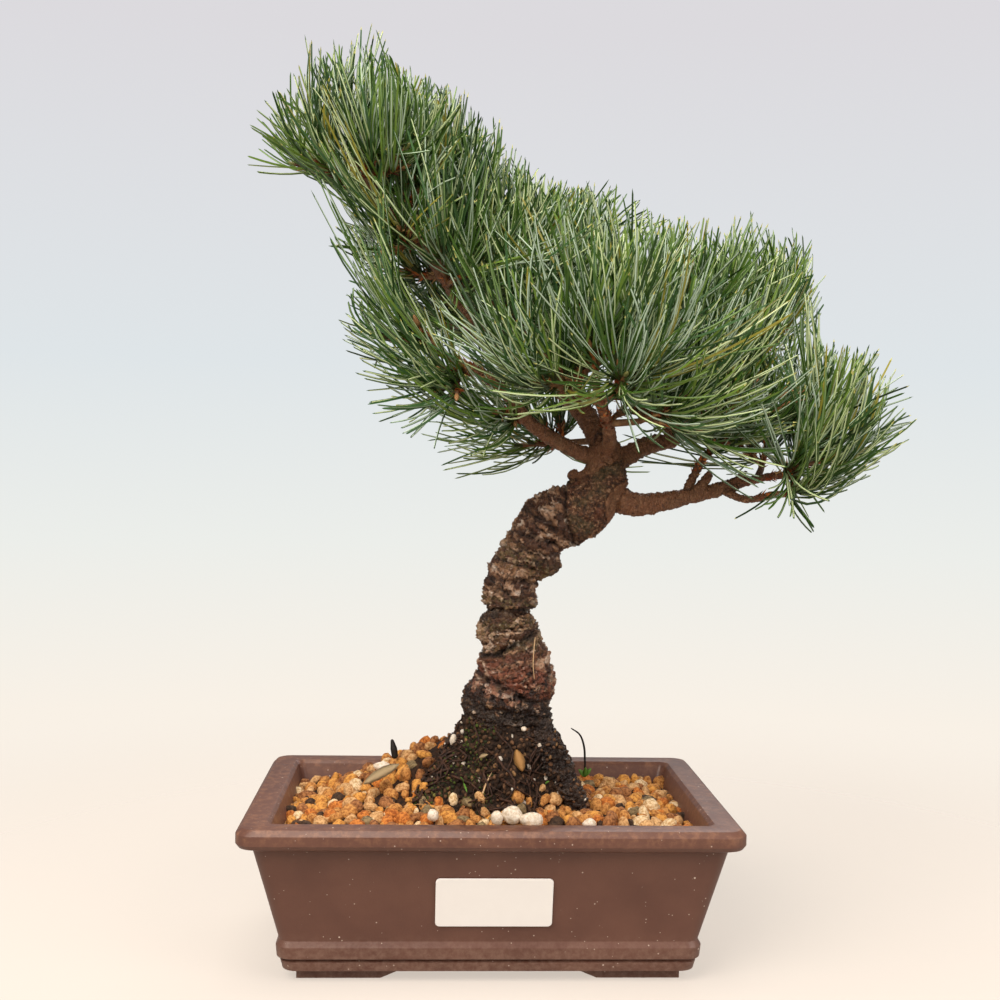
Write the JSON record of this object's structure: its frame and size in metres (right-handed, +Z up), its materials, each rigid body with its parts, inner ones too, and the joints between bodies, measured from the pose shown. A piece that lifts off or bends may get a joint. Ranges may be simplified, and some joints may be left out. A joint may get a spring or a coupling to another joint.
{
  "type": "japanese white pine bonsai",
  "caption": "Curved white pine bonsai with a leaning trunk and tufts of blue-green needles, planted in gravel in a rectangular stoneware pot.",
  "frame": {"origin": "on the surface the pot's feet stand on, under the middle of the whole plant's box; the pot's middle is 30 mm to its left", "axes": "+X to the right along the pot's long side, +Y to the back, -Y the front with the label, +Z up"},
  "size_m": [0.2816, 0.1878, 0.3682],
  "materials": {
    "stoneware": "satin unglazed brown stoneware",
    "label": "smooth white, blank",
    "gravel": "matt baked clay grains, ochre, tan and grey",
    "soil": "dark, crumbly, with moss",
    "old_bark": "rough flaky bark in rolled ridges",
    "young_bark": "finely ringed reddish bark",
    "needles": "satin blue-green needles with pale stripes"
  },
  "bodies": {
    "root": {"pot": "stoneware", "blank_label": "label", "gravel_bed": "gravel", "root_mound": "soil", "trunk": "old_bark", "leader_lower": "young_bark", "leader_upper": "young_bark", "left_bough": "young_bark", "front_bough": "young_bark", "back_bough": "young_bark", "top_bough": "young_bark", "back_left_bough": "young_bark", "right_mid": "young_bark", "right_back": "young_bark", "right_top": "young_bark", "right_low": "young_bark", "right_fork_upper": "young_bark", "right_fork_lower": "young_bark", "right_spur": "young_bark", "needles_apex_back": "needles", "needles_apex_front": "needles", "needles_apex_left": "needles", "needles_apex_top": "needles", "needles_back_left": "needles", "needles_back_low": "needles", "needles_back_middle": "needles", "needles_back_right": "needles", "needles_back_top": "needles", "needles_centre_left": "needles", "needles_centre_ridge": "needles", "needles_centre_top": "needles", "needles_front_left": "needles", "needles_front_middle": "needles", "needles_front_right": "needles", "needles_front_top": "needles", "needles_leader_back": "needles", "needles_leader_front": "needles", "needles_leader_right": "needles", "needles_leader_top": "needles", "needles_leader_under": "needles", "needles_left_hanging": "needles", "needles_left_tip": "needles", "needles_left_under": "needles", "needles_low_right_back": "needles", "needles_low_right_end": "needles", "needles_low_right_top": "needles", "needles_right_back_tip": "needles", "needles_right_back_top": "needles", "needles_right_front": "needles", "needles_right_ridge": "needles", "needles_spur_brush": "needles"}
  },
  "joints": []
}
